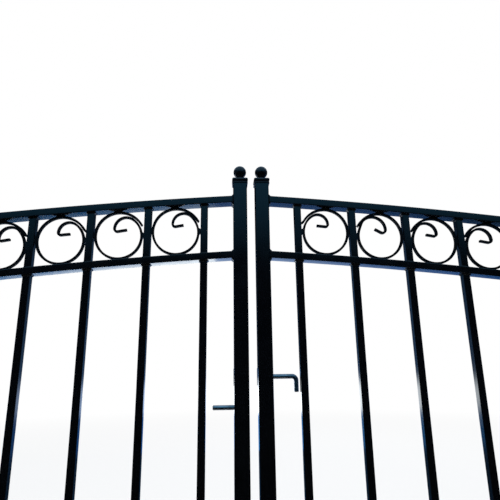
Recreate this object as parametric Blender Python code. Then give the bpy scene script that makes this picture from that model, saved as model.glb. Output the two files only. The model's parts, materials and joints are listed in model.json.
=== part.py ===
# Double garden gate of square steel tube: two leaves hung on two posts.
# Metres, +Z up. X runs across the opening, -Y is the outside, +Y the side the leaves open to.
# The origin is on the ground, midway between the leaves.

from math import asin, atan, atan2, cos, degrees, pi, radians, sin

import bmesh
import bpy
from mathutils import Matrix, Vector

INCH = 0.0254

# Tube and bar stock.
STILE = 2.0 * INCH
STILE_WALL = 0.0025
PICKET = 1.0 * INCH
PICKET_WALL = 0.0016
RAIL_HEIGHT = 1.0 * INCH
RAIL_DEPTH = 2.0 * INCH
RAIL_WALL = 0.002
TUBE_CORNER = 0.0025
BAR_DEPTH = 0.5 * INCH
BAR_THICKNESS = 0.3125 * INCH

# One leaf.
BAY_COUNT = 6                 # one entry each in BEND_ORDER
PICKET_PITCH = 8.0 * INCH
END_BAY = 0.1315              # stile centre to the nearest picket's centre
MEETING_GAP = 0.030
TOP_RAIL_TOP = 1.447          # at the meeting edge
ARCH_SLOPE = 0.057            # the rails' fall at the meeting edge
ARCH_RADIUS = 16.7
BOTTOM_RAIL_TOP = 0.135
GROUND_CLEARANCE = 0.060
STILE_RISE = 0.066            # stile top above the top rail

# Ball caps.
CAP_SKIRT = 0.0165
CAP_WALL = 0.003
CAP_TOP = 0.003
CAP_FLARE = 0.0008
CAP_RIM = 0.0065
NECK_RADIUS = 0.010
NECK_HEIGHT = 0.010
BALL_RADIUS = 0.0238

# Volutes: tangent arcs of one bent bar, measured on the bar's middle line.
RING_SIDE_GAP = 0.0019        # ring to picket, bridged by a weld
RING_HEADROOM = 0.0051        # ring to rail, bridged by a weld
TAIL_OFFSET = 1.12            # the tail's larger radius, in bar thicknesses
TAIL_END_ANGLE = 33.0
LEAD_OFFSET = 0.68            # the lead's smaller radius, in bar thicknesses
LEAD_START_ANGLE = 300.0
THROAT_START_ANGLE = 20.0
# Each bend is bent by hand: the curl's middle across and up, the curl's radius, the hook's radius
# and the tip's length, all in ring radii, then the degrees that the hook turns through.
BENDS = (
    (0.322, 0.322, 0.477, 0.112, 0.350, 100.0),
    (0.286, 0.295, 0.495, 0.125, 0.395, 100.0),
    (0.316, 0.328, 0.448, 0.101, 0.390, 96.0),
    (0.286, 0.286, 0.573, 0.147, 0.310, 118.0),
)
BEND_ORDER = {-1: (0, 1, 2, 0, 2, 1), 1: (2, 3, 0, 1, 2, 0)}   # by side, from the meeting stile out
SIDE_WELD = 0.011             # half-lengths of the welds around the ring
TOP_WELD = 0.016
BOTTOM_WELD = 0.020
WELD_TOE = 0.002              # the run over which a weld rises

# Posts.
POST = 3.0 * INCH
POST_WALL = 0.003
POST_ABOVE_RAIL = 0.003       # post top above the top rail's highest point
POST_BALL_RADIUS = 0.030
BASE_PLATE = 0.200
BASE_THICKNESS = 0.010
ANCHOR_SPACING = 0.150
ANCHOR_HOLE = 0.014

# Hinges.
HINGE_GAP = 0.080             # hinge stile to post
HINGE_LOWER = 0.200
HINGE_UPPER_DROP = 0.116      # upper lug below the top rail
PIN_RADIUS = 0.008
PIN_HEIGHT = 0.046
EYE_WALL = 0.0056
EYE_HEIGHT = 0.036
LUG_THICKNESS = 0.014
WEB_THICKNESS = 0.010
HINGE_PLATE = 0.006
HINGE_PLATE_WIDTH = 0.044
HINGE_PLATE_HEIGHT = 0.080

# Drop rod, on the inner face of the left meeting stile.
ROD_RADIUS = 0.008
ROD_TIP = 0.100
ROD_LENGTH = 0.600
ROD_HANDLE = 0.095
ROD_BEND = 0.020
ROD_GUIDES = (0.230, 0.560)
GUIDE_HEIGHT = 0.024
GUIDE_WALL = 0.005
GUIDE_NECK = 0.0066           # stile face to the eye's nearest point
COLLAR_RIM = 0.005
COLLAR_HEIGHT = 0.012

# Floor keeper.
KEEPER_WIDTH = 0.170
KEEPER_FRONT = 0.012          # plate's reach in front of the stop
KEEPER_BACK = 0.020           # and behind the socket
KEEPER_THICKNESS = 0.006
KEEPER_HOLE = 0.009
KEEPER_HOLE_SPACING = 0.144
STOP_THICKNESS = 0.006
STOP_WIDTH = 0.120
STOP_TOP = 0.096
STOP_GAP = 0.0006
SOCKET_HEIGHT = 0.034
SOCKET_WALL = 0.005
SOCKET_CLEARANCE = 0.0025

# Slide bolt, across the meeting gap on the inner faces.
BOLT_RADIUS = 0.008
BOLT_LEVEL = 0.800
BOLT_LENGTH = 0.135
BOLT_BACK = 0.001             # bolt tip behind the stile's meeting edge
BOLT_HANDLE = 0.050
BOLT_BEND = 0.014
BOLT_LIFT = 0.002             # bolt above the plate
LOOP_LENGTH = 0.014
LOOP_WALL = 0.005
LOOP_INSET = 0.002            # loops in from the plate's ends
KEEPER_CLEARANCE = 0.002
KEEPER_LOOP_INSET = 0.009     # the keeper's loop in from the stile's meeting edge
FITTING_PLATE = 0.005
FITTING_INSET = 0.002
FITTING_HEIGHT = 0.060
BAR_TAPER = 0.003             # chamfer on the ends of rod and bolt

# Clearances and facets.
SEAT = 0.0003                 # between pieces that touch
RUN = 0.0004                  # radial, between pin and eye, rod and guide
CUT = 0.004                   # how far a cutter runs past what it cuts
CORNER_STEPS = 2
RAIL_STEPS = 12
ROUND_STEPS = 20
BALL_STEPS = 16
BEND_STEPS = 5

# Worked out from the sizes above.
LEAF_WIDTH = STILE + 2 * END_BAY + BAY_COUNT * PICKET_PITCH
RING_RADIUS = (PICKET_PITCH - PICKET - BAR_THICKNESS) / 2 - RING_SIDE_GAP
RING_RAIL_DROP = RAIL_HEIGHT + 2 * RING_RADIUS + BAR_THICKNESS + 2 * RING_HEADROOM
HINGE_X = MEETING_GAP / 2 + LEAF_WIDTH + HINGE_GAP / 2
EYE_RADIUS = PIN_RADIUS + RUN + EYE_WALL
POST_X = HINGE_X + HINGE_GAP / 2 + POST / 2
POST_TOP = TOP_RAIL_TOP + POST_ABOVE_RAIL
ROD_X = -(MEETING_GAP / 2 + STILE / 2)
ROD_Y = STILE / 2 + GUIDE_NECK + GUIDE_WALL + RUN + ROD_RADIUS
BOLT_Y = STILE / 2 + SEAT + FITTING_PLATE + BOLT_LIFT + BOLT_RADIUS


def rail_line(across):
    """Height of the top rail's upper face at a distance from the leaf's meeting edge."""
    return TOP_RAIL_TOP - ARCH_SLOPE * across - across * across / (2 * ARCH_RADIUS)


def ring_rail_line(across):
    return rail_line(across) - RING_RAIL_DROP


def rail_slope(across):
    return ARCH_SLOPE + across / ARCH_RADIUS


def picket_across(index):
    return STILE / 2 + END_BAY + index * PICKET_PITCH


def spot(side, across, depth, height):
    """A point of a leaf. The side is -1 or 1, and across runs outwards from the meeting edge."""
    return Vector((side * (MEETING_GAP / 2 + across), depth, height))


def powder_coat(name, color, roughness=0.42, metallic=0.0):
    material = bpy.data.materials.new(name)
    material.use_nodes = True
    shader = material.node_tree.nodes["Principled BSDF"]
    shader.inputs["Base Color"].default_value = (*color, 1.0)
    shader.inputs["Roughness"].default_value = roughness
    shader.inputs["Metallic"].default_value = metallic
    material.diffuse_color = (*color, 1.0)
    return material


# Outlines

def rounded_square(width, depth, radius):
    """Points around a rectangle with rounded corners, centred on the origin."""
    points = []
    for corner in range(4):
        sign_x = 1 if corner in (0, 3) else -1
        sign_y = 1 if corner in (0, 1) else -1
        for step in range(CORNER_STEPS + 1):
            angle = pi / 2 * (corner + step / CORNER_STEPS)
            points.append((
                sign_x * (width / 2 - radius) + radius * cos(angle),
                sign_y * (depth / 2 - radius) + radius * sin(angle),
            ))
    return points


def circle(radius, steps=ROUND_STEPS):
    return [(radius * cos(2 * pi * i / steps), radius * sin(2 * pi * i / steps)) for i in range(steps)]


def heading(angle):
    """A unit vector in the plane of a leaf, from an angle in degrees."""
    return Vector((cos(radians(angle)), sin(radians(angle))))


# Solids, each added to a mesh

def skin(mesh, rings):
    """Faces from each ring of points to the next. Gives back the rings of vertices."""
    loops = [[mesh.verts.new(point) for point in ring] for ring in rings]
    for low, high in zip(loops, loops[1:]):
        for i in range(len(low)):
            j = (i + 1) % len(low)
            mesh.faces.new((low[i], low[j], high[j], high[i]))
    return loops


def join_rims(mesh, outer, inner):
    for i in range(len(outer)):
        j = (i + 1) % len(outer)
        mesh.faces.new((outer[i], outer[j], inner[j], inner[i]))


def add_solid(mesh, rings):
    loops = skin(mesh, rings)
    mesh.faces.new(loops[0])
    mesh.faces.new(loops[-1])


def add_tube(mesh, outer_rings, inner_rings):
    """A hollow length, open at both ends."""
    outer = skin(mesh, outer_rings)
    inner = skin(mesh, inner_rings)
    join_rims(mesh, outer[0], inner[0])
    join_rims(mesh, outer[-1], inner[-1])


def box(low, high):
    """A filler for a box between two corners."""
    corners = [(low[0], low[1]), (high[0], low[1]), (high[0], high[1]), (low[0], high[1])]
    return lambda mesh: add_solid(mesh, [[Vector((x, y, z)) for x, y in corners] for z in (low[2], high[2])])


def rod(start, end, radius):
    """A filler for a cylinder between two points."""
    turn = (end - start).to_track_quat("Z", "Y").to_matrix()
    rings = [[point + turn @ Vector((x, y, 0)) for x, y in circle(radius)] for point in (start, end)]
    return lambda mesh: add_solid(mesh, rings)


def bent_bar(tip, forward, aside, straight, bend, handle, radius):
    """A filler for a round bar that runs forward from its tip, then turns aside at a right angle."""
    level = forward.cross(aside)
    pivot = tip + forward * straight + aside * bend
    path = [(tip, aside, radius - BAR_TAPER), (tip + forward * BAR_TAPER, aside, radius)]
    for step in range(BEND_STEPS + 1):
        angle = pi / 2 * step / BEND_STEPS
        out = forward * sin(angle) - aside * cos(angle)
        path.append((pivot + out * bend, -out, radius))
    end = pivot + forward * bend + aside * handle
    path += [(end, -forward, radius), (end + aside * BAR_TAPER, -forward, radius - BAR_TAPER)]
    rings = [[point + level * x + inward * y for x, y in circle(size)] for point, inward, size in path]
    return lambda mesh: add_solid(mesh, rings)


# Objects

def finish_object(name, data, material, parent=None, origin=None):
    data.name = name
    data.shade_smooth()
    data.set_sharp_from_angle(angle=radians(32))
    data.materials.clear()
    data.materials.append(material)
    piece = bpy.data.objects.new(name, data)
    bpy.context.collection.objects.link(piece)
    if origin:
        data.transform(Matrix.Translation(-origin))
        piece.location = origin
    if parent:
        piece.parent = parent
        piece.matrix_parent_inverse = Matrix.Translation(-parent.location)
    return piece


def filled_mesh(name, fill):
    mesh = bmesh.new()
    fill(mesh)
    bmesh.ops.recalc_face_normals(mesh, faces=mesh.faces)
    data = bpy.data.meshes.new(name)
    mesh.to_mesh(data)
    mesh.free()
    return data


def plain_object(name, fill, material, parent=None):
    return finish_object(name, filled_mesh(name, fill), material, parent)


def carved_object(name, solids, cutters, material, parent=None, origin=None):
    """The union of the solids, less the cutters."""
    tools = []
    for fill in solids + cutters:
        tool = bpy.data.objects.new(f"{name}_tool", filled_mesh(f"{name}_tool", fill))
        bpy.context.collection.objects.link(tool)
        tools.append(tool)
    for number, tool in enumerate(tools[1:], start=1):
        boolean = tools[0].modifiers.new(f"step_{number}", "BOOLEAN")
        boolean.operation = "UNION" if number < len(solids) else "DIFFERENCE"
        boolean.solver = "EXACT"
        boolean.object = tool
    graph = bpy.context.evaluated_depsgraph_get()
    data = bpy.data.meshes.new_from_object(tools[0].evaluated_get(graph), depsgraph=graph)
    for tool in tools:
        spent = tool.data
        bpy.data.objects.remove(tool)
        bpy.data.meshes.remove(spent)
    return finish_object(name, data, material, parent, origin)


def pivot(name, location):
    empty = bpy.data.objects.new(name, None)
    empty.empty_display_size = 0.05
    empty.location = location
    bpy.context.collection.objects.link(empty)
    return empty


# Stiles, rails and pickets

def make_upright(name, side, across, width, wall, low, high, material, parent):
    """A square tube whose cut ends follow low(across) and high(across)."""
    def rings(size, radius):
        outline = rounded_square(size, size, radius)
        return [[spot(side, across + x, y, level(across + x)) for x, y in outline] for level in (low, high)]

    outer = rings(width, TUBE_CORNER)
    inner = rings(width - 2 * wall, TUBE_CORNER - wall / 2)
    plain_object(name, lambda mesh: add_tube(mesh, outer, inner), material, parent)


def make_stile(name, side, across, material, parent):
    make_upright(name, side, across, STILE, STILE_WALL, lambda _: GROUND_CLEARANCE,
                 lambda _: rail_line(across) + STILE_RISE, material, parent)


def rail_tube(side, line, steps):
    """A filler for a rail whose upper face follows line(across)."""
    start = STILE + SEAT
    length = LEAF_WIDTH - 2 * start

    def rings(depth, height, radius):
        outline = rounded_square(depth, height, radius)
        stations = [start + length * step / steps for step in range(steps + 1)]
        return [[spot(side, across, y, line(across) - RAIL_HEIGHT / 2 + z) for y, z in outline]
                for across in stations]

    outer = rings(RAIL_DEPTH, RAIL_HEIGHT, TUBE_CORNER)
    inner = rings(RAIL_DEPTH - 2 * RAIL_WALL, RAIL_HEIGHT - 2 * RAIL_WALL, TUBE_CORNER - RAIL_WALL / 2)
    return lambda mesh: add_tube(mesh, outer, inner)


def picket_hole(side, index):
    across = picket_across(index)
    middle = ring_rail_line(across) - RAIL_HEIGHT / 2
    outline = rounded_square(PICKET + 2 * SEAT, PICKET + 2 * SEAT, TUBE_CORNER + SEAT)
    rings = [[spot(side, across + x, y, middle + reach) for x, y in outline]
             for reach in (-RAIL_HEIGHT, RAIL_HEIGHT)]
    return lambda mesh: add_solid(mesh, rings)


def make_rails(hand, side, material, parent):
    plain_object(f"{hand}_top_rail", rail_tube(side, rail_line, RAIL_STEPS), material, parent)
    plain_object(f"{hand}_bottom_rail", rail_tube(side, lambda _: BOTTOM_RAIL_TOP, 1), material, parent)
    solid = [rail_tube(side, ring_rail_line, RAIL_STEPS)]
    holes = [picket_hole(side, index) for index in range(BAY_COUNT + 1)]
    carved_object(f"{hand}_ring_rail", solid, holes, material, parent)


def make_pickets(hand, side, material, parent):
    for index in range(BAY_COUNT + 1):
        make_upright(f"{hand}_picket_{index + 1}", side, picket_across(index), PICKET, PICKET_WALL,
                     lambda _: BOTTOM_RAIL_TOP + SEAT,
                     lambda across: rail_line(across) - RAIL_HEIGHT - SEAT, material, parent)


# Volutes

def volute_welds(slope):
    """Each weld's direction from the ring's middle, its face's distance and its half-length."""
    lean = atan(slope)
    beside = (PICKET_PITCH - PICKET) / 2 - SEAT
    above = (RING_RAIL_DROP - RAIL_HEIGHT) / 2 * cos(lean) - SEAT
    return [
        (90 + degrees(lean), above, TOP_WELD),
        (180, beside, SIDE_WELD),
        (270 + degrees(lean), above, BOTTOM_WELD),
        (360, beside, SIDE_WELD),
    ]


def weld_angles(middle, radius, welds):
    """Angles on an arc where its welds start, end and reach their full rise."""
    angles = []
    for angle, _, half in welds:
        shift = middle.dot(heading(angle + 90))
        for along in (-half - WELD_TOE, -half, half, half + WELD_TOE):
            angles.append(angle + degrees(asin((along - shift) / radius)))
    return angles


def arc_angles(start, end, step, stops):
    """Angles from start to end that pass through the stops and are no more than a step apart."""
    low, high = min(start, end), max(start, end)
    marks = [low] + sorted(stop for stop in stops if low + 1 < stop < high - 1) + [high]
    angles = [low]
    for first, last in zip(marks, marks[1:]):
        count = max(1, round((last - first) / step))
        angles += [first + (last - first) * i / count for i in range(1, count + 1)]
    return angles if end > start else angles[::-1]


def volute_line(welds, bend):
    """Stations of the bar's middle line, from the tail's end over the ring and the lead inside
    the tail to the curl's tip, each with its outward normal and whether a weld may sit on it."""
    curl_across, curl_up, curl_share, hook_share, tip_share, hook_turn = bend
    ring = Vector((0, 0))
    curl = Vector((curl_across, curl_up)) * RING_RADIUS
    curl_radius = curl_share * RING_RADIUS
    hook_radius = hook_share * RING_RADIUS
    tail_radius = RING_RADIUS + TAIL_OFFSET * BAR_THICKNESS
    tail = ring + heading(90) * (RING_RADIUS - tail_radius)
    lead_radius = RING_RADIUS - LEAD_OFFSET * BAR_THICKNESS
    lead = heading(LEAD_START_ANGLE) * (RING_RADIUS - lead_radius)
    # The throat's arc touches the lead from inside at its start, and the curl from outside.
    start = heading(THROAT_START_ANGLE)
    spare = lead_radius - curl_radius
    shift = curl - lead
    inset = (spare * spare - shift.dot(shift)) / (2 * (spare - shift.dot(start)))
    throat = lead + start * inset
    throat_radius = lead_radius - inset
    rise = curl - throat
    curl_start = degrees(atan2(rise.y, rise.x))
    hook = curl + heading(180) * (curl_radius - hook_radius)
    lead_end = 360 + THROAT_START_ANGLE
    arcs = (
        (tail, tail_radius, TAIL_END_ANGLE, 90, 11, weld_angles(tail, tail_radius, welds[:1])),
        (ring, RING_RADIUS, 90, LEAD_START_ANGLE, 11, weld_angles(ring, RING_RADIUS, welds)),
        (lead, lead_radius, LEAD_START_ANGLE, lead_end, 11, weld_angles(lead, lead_radius, welds[3:])),
        (throat, throat_radius, THROAT_START_ANGLE, curl_start, 12, ()),
        (curl, curl_radius, curl_start, 180, 14, ()),
        (hook, hook_radius, 180, 180 + hook_turn, 25, ()),
    )
    stations = []
    for number, (middle, radius, start, end, step, stops) in enumerate(arcs):
        for angle in arc_angles(start, end, step, stops)[min(number, 1):]:
            stations.append((middle + heading(angle) * radius, heading(angle), number < 3))
    hook_end, normal, _ = stations[-1]
    stations.append((hook_end + heading(270 + hook_turn) * tip_share * RING_RADIUS, normal, False))
    return stations


def outer_reach(point, normal, welds):
    """From the bar's middle line to its outer face, or to the face of a weld."""
    for angle, distance, half in welds:
        out = heading(angle)
        along = point.dot(heading(angle + 90))
        if point.dot(out) > 0 and abs(along) < half + SEAT:
            return (distance - point.dot(out)) / normal.dot(out)
    return BAR_THICKNESS / 2


def make_volute(name, side, index, material, parent):
    across = (picket_across(index) + picket_across(index + 1)) / 2
    height = rail_line(across) - (RING_RAIL_DROP + RAIL_HEIGHT) / 2
    welds = volute_welds(rail_slope(across))
    rings = []
    for point, normal, may_weld in volute_line(welds, BENDS[BEND_ORDER[side][index]]):
        reach = outer_reach(point, normal, welds) if may_weld else BAR_THICKNESS / 2
        inner = point - normal * BAR_THICKNESS / 2
        outer = point + normal * reach
        section = ((inner, -1), (outer, -1), (outer, 1), (inner, 1))
        rings.append([spot(side, across - edge.x, face * BAR_DEPTH / 2, height + edge.y)
                      for edge, face in section])
    plain_object(name, lambda mesh: add_solid(mesh, rings), material, parent)


# Caps

def cap_skirt(seat, tube):
    """A filler for a square lid that slips over a tube's end and flares at its upper rim."""
    inside = tube + 2 * SEAT
    outside = inside + 2 * CAP_WALL
    flared = outside + 2 * CAP_FLARE
    roof = SEAT + CAP_TOP

    def square(size, height):
        return [seat + Vector((x, y, height)) for x, y in rounded_square(size, size, TUBE_CORNER)]

    def fill(mesh):
        outer = skin(mesh, [square(outside, -CAP_SKIRT), square(outside, roof - CAP_RIM),
                            square(flared, roof - CAP_TOP), square(flared, roof)])
        inner = skin(mesh, [square(inside, -CAP_SKIRT), square(inside, SEAT)])
        mesh.faces.new(outer[-1])
        mesh.faces.new(inner[-1])
        join_rims(mesh, outer[0], inner[0])

    return fill


def ball_on_neck(foot, radius):
    """A filler for a ball on a short neck that stands in the lid."""
    middle = CAP_TOP / 2 + NECK_HEIGHT + radius * cos(asin(NECK_RADIUS / radius))
    lowest = asin(NECK_RADIUS / radius) - pi / 2
    bands = BALL_STEPS // 2

    def fill(mesh):
        rings = [[foot + Vector((x, y, 0)) for x, y in circle(NECK_RADIUS, BALL_STEPS)]]
        for band in range(bands):
            angle = lowest + (pi / 2 - lowest) * band / bands
            height = middle + radius * sin(angle)
            rings.append([foot + Vector((x, y, height)) for x, y in circle(radius * cos(angle), BALL_STEPS)])
        loops = skin(mesh, rings)
        mesh.faces.new(loops[0])
        pole = mesh.verts.new(foot + Vector((0, 0, middle + radius)))
        for i in range(BALL_STEPS):
            mesh.faces.new((loops[-1][i], loops[-1][(i + 1) % BALL_STEPS], pole))

    return fill


def make_cap(name, seat, tube, ball_radius, material, parent=None):
    foot = seat + Vector((0, 0, SEAT + CAP_TOP / 2))
    carved_object(name, [cap_skirt(seat, tube), ball_on_neck(foot, ball_radius)], [], material, parent)


# Posts and hinges

def make_post(name, side, material):
    middle = side * POST_X
    half = BASE_PLATE / 2
    bore = POST - 2 * POST_WALL

    def shaft(mesh):
        def rings(size, radius):
            outline = rounded_square(size, size, radius)
            return [[Vector((middle + x, y, z)) for x, y in outline] for z in (BASE_THICKNESS / 2, POST_TOP)]
        add_tube(mesh, rings(POST, TUBE_CORNER), rings(bore, TUBE_CORNER - POST_WALL / 2))

    plate = box((middle - half, -half, 0), (middle + half, half, BASE_THICKNESS))
    holes = []
    for sign_x in (-1, 1):
        for sign_y in (-1, 1):
            spot_x = middle + sign_x * ANCHOR_SPACING / 2
            spot_y = sign_y * ANCHOR_SPACING / 2
            holes.append(rod(Vector((spot_x, spot_y, -CUT)), Vector((spot_x, spot_y, BASE_THICKNESS + CUT)),
                             ANCHOR_HOLE / 2))
    carved_object(name, [plate, shaft], holes, material)


def make_pintle(name, side, level, material):
    """The half on the post: a plate, a lug out to the axis and an upright pin."""
    axis = side * HINGE_X
    face = side * (HINGE_X + HINGE_GAP / 2 - SEAT)
    half_width = HINGE_PLATE_WIDTH / 2
    middle = level - LUG_THICKNESS / 2
    plate = box((face, -half_width, middle - HINGE_PLATE_HEIGHT / 2),
                (face - side * HINGE_PLATE, half_width, middle + HINGE_PLATE_HEIGHT / 2))
    lug = box((axis, -EYE_RADIUS, level - LUG_THICKNESS),
              (face - side * HINGE_PLATE / 2, EYE_RADIUS, level))
    foot = Vector((axis, 0, level - LUG_THICKNESS))
    nose = rod(foot, Vector((axis, 0, level)), EYE_RADIUS)
    pin = rod(foot + Vector((0, 0, LUG_THICKNESS / 2)), Vector((axis, 0, level + PIN_HEIGHT)), PIN_RADIUS)
    carved_object(name, [plate, lug, nose, pin], [], material)


def make_gudgeon(name, side, level, material, parent):
    """The half on the leaf: an eye that rests on the lug, and a web back to a plate on the stile."""
    axis = side * HINGE_X
    face = side * (HINGE_X - HINGE_GAP / 2 + SEAT)
    half_width = HINGE_PLATE_WIDTH / 2
    low = level + SEAT
    high = low + EYE_HEIGHT
    middle = (low + high) / 2
    plate = box((face, -half_width, middle - HINGE_PLATE_HEIGHT / 2),
                (face + side * HINGE_PLATE, half_width, middle + HINGE_PLATE_HEIGHT / 2))
    web = box((axis, -WEB_THICKNESS / 2, low), (face + side * HINGE_PLATE / 2, WEB_THICKNESS / 2, high))
    eye = rod(Vector((axis, 0, low)), Vector((axis, 0, high)), EYE_RADIUS)
    bore = rod(Vector((axis, 0, low - CUT)), Vector((axis, 0, high + CUT)), PIN_RADIUS + RUN)
    carved_object(name, [eye, plate, web], [bore], material, parent)


# Drop rod and floor keeper

def make_drop_rod(material, parent):
    tip = Vector((ROD_X, ROD_Y, ROD_TIP))
    bar = bent_bar(tip, Vector((0, 0, 1)), Vector((-1, 0, 0)), ROD_LENGTH - ROD_BEND, ROD_BEND,
                   ROD_HANDLE - ROD_BEND, ROD_RADIUS)
    under_guide = Vector((ROD_X, ROD_Y, ROD_GUIDES[1] - GUIDE_HEIGHT / 2 - SEAT))
    collar = rod(under_guide - Vector((0, 0, COLLAR_HEIGHT)), under_guide, ROD_RADIUS + COLLAR_RIM)
    carved_object("drop_rod", [bar, collar], [], material, parent, origin=tip)


def make_rod_guide(name, level, material, parent):
    low = level - GUIDE_HEIGHT / 2
    high = level + GUIDE_HEIGHT / 2
    eye = rod(Vector((ROD_X, ROD_Y, low)), Vector((ROD_X, ROD_Y, high)), ROD_RADIUS + RUN + GUIDE_WALL)
    web = box((ROD_X - ROD_RADIUS, STILE / 2 + SEAT, low), (ROD_X + ROD_RADIUS, ROD_Y, high))
    bore = rod(Vector((ROD_X, ROD_Y, low - CUT)), Vector((ROD_X, ROD_Y, high + CUT)), ROD_RADIUS + RUN)
    carved_object(name, [eye, web], [bore], material, parent)


def make_floor_keeper(material):
    """A plate on the ground with a stop in front of the stiles and a socket for the drop rod."""
    stop_back = -STILE / 2 - STOP_GAP
    stop_front = stop_back - STOP_THICKNESS
    bore = ROD_RADIUS + SOCKET_CLEARANCE
    socket_radius = bore + SOCKET_WALL
    front = stop_front - KEEPER_FRONT
    back = ROD_Y + socket_radius + KEEPER_BACK
    plate = box((-KEEPER_WIDTH / 2, front, 0), (KEEPER_WIDTH / 2, back, KEEPER_THICKNESS))
    stop = box((-STOP_WIDTH / 2, stop_front, KEEPER_THICKNESS / 2), (STOP_WIDTH / 2, stop_back, STOP_TOP))
    socket = rod(Vector((ROD_X, ROD_Y, KEEPER_THICKNESS / 2)),
                 Vector((ROD_X, ROD_Y, KEEPER_THICKNESS + SOCKET_HEIGHT)), socket_radius)
    well = rod(Vector((ROD_X, ROD_Y, KEEPER_THICKNESS)),
               Vector((ROD_X, ROD_Y, KEEPER_THICKNESS + SOCKET_HEIGHT + CUT)), bore)
    holes = [rod(Vector((sign * KEEPER_HOLE_SPACING / 2, 0, -CUT)),
                 Vector((sign * KEEPER_HOLE_SPACING / 2, 0, KEEPER_THICKNESS + CUT)), KEEPER_HOLE / 2)
             for sign in (-1, 1)]
    carved_object("floor_keeper", [plate, stop, socket], [well] + holes, material)


# Slide bolt

def make_fitting(name, side, loops, bore, material, parent):
    """A plate on the rear of a meeting stile with loops that the slide bolt runs through. The loops
    are given by the distances of their middles from the stile's meeting edge."""
    edge = MEETING_GAP / 2
    low = BOLT_LEVEL - FITTING_HEIGHT / 2
    back = STILE / 2 + SEAT
    plate = box((side * (edge + FITTING_INSET), back, low),
                (side * (edge + STILE - FITTING_INSET), back + FITTING_PLATE, low + FITTING_HEIGHT))
    outer = bore + LOOP_WALL
    solids = [plate]
    for across in loops:
        near = side * (edge + across - LOOP_LENGTH / 2)
        far = side * (edge + across + LOOP_LENGTH / 2)
        solids.append(rod(Vector((near, BOLT_Y, BOLT_LEVEL)), Vector((far, BOLT_Y, BOLT_LEVEL)), outer))
        solids.append(box((near, back + FITTING_PLATE / 2, BOLT_LEVEL - outer),
                          (far, BOLT_Y, BOLT_LEVEL + outer)))
    way = rod(Vector((side * (edge - CUT), BOLT_Y, BOLT_LEVEL)),
              Vector((side * (edge + STILE + CUT), BOLT_Y, BOLT_LEVEL)), bore)
    carved_object(name, solids, [way], material, parent)


def make_slide_bolt(material, parent):
    tip = Vector((MEETING_GAP / 2 + BOLT_BACK, BOLT_Y, BOLT_LEVEL))
    bar = bent_bar(tip, Vector((1, 0, 0)), Vector((0, 0, -1)), BOLT_LENGTH - BOLT_BEND, BOLT_BEND,
                   BOLT_HANDLE - BOLT_BEND, BOLT_RADIUS)
    carved_object("slide_bolt", [bar], [], material, parent, origin=tip)


# The whole gate

def make_leaf(hand, side, paints):
    leaf = pivot(f"{hand}_leaf_axis", Vector((side * HINGE_X, 0, 0)))
    meeting = STILE / 2
    hanging = LEAF_WIDTH - STILE / 2
    for role, across in (("meeting", meeting), ("hinge", hanging)):
        make_stile(f"{hand}_{role}_stile", side, across, paints["stile"], leaf)
        seat = spot(side, across, 0, rail_line(across) + STILE_RISE)
        make_cap(f"{hand}_{role}_cap", seat, STILE, BALL_RADIUS, paints["cap"], leaf)
    make_rails(hand, side, paints["rail"], leaf)
    make_pickets(hand, side, paints["picket"], leaf)
    for index in range(BAY_COUNT):
        make_volute(f"{hand}_volute_{index + 1}", side, index, paints["volute"], leaf)
    upper = rail_line(LEAF_WIDTH - STILE) - HINGE_UPPER_DROP
    for role, level in (("lower", HINGE_LOWER), ("upper", upper)):
        make_gudgeon(f"{hand}_{role}_gudgeon", side, level, paints["hinge"], leaf)
        make_pintle(f"{hand}_{role}_pintle", side, level, paints["hinge"])
    make_post(f"{hand}_post", side, paints["post"])
    make_cap(f"{hand}_post_cap", Vector((side * POST_X, 0, POST_TOP)), POST, POST_BALL_RADIUS, paints["cap"])
    return leaf


def build_gate():
    black = (0.012, 0.013, 0.015)
    steel = (0.30, 0.30, 0.31)
    paints = {part: powder_coat(f"{part}_black", black)
              for part in ("stile", "rail", "picket", "volute", "cap", "post", "hinge", "fitting")}
    paints["bar"] = powder_coat("bar_zinc", steel, roughness=0.38, metallic=0.9)
    left_leaf = make_leaf("left", -1, paints)
    right_leaf = make_leaf("right", 1, paints)
    make_drop_rod(paints["bar"], left_leaf)
    for name, level in zip(("rod_lower_guide", "rod_upper_guide"), ROD_GUIDES):
        make_rod_guide(name, level, paints["fitting"], left_leaf)
    make_floor_keeper(paints["fitting"])
    first_loop = FITTING_INSET + LOOP_INSET + LOOP_LENGTH / 2
    make_fitting("bolt_housing", 1, (first_loop, STILE - first_loop), BOLT_RADIUS + RUN,
                 paints["fitting"], right_leaf)
    make_fitting("bolt_keeper", -1, (KEEPER_LOOP_INSET + LOOP_LENGTH / 2,), BOLT_RADIUS + KEEPER_CLEARANCE,
                 paints["fitting"], left_leaf)
    make_slide_bolt(paints["bar"], right_leaf)


for leftover in list(bpy.data.objects):
    bpy.data.objects.remove(leftover)
build_gate()
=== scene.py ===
import json
from math import asin, atan, atan2, cos, degrees, pi, radians, sin

import bmesh
import bpy
from mathutils import Matrix, Vector, noise

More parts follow.
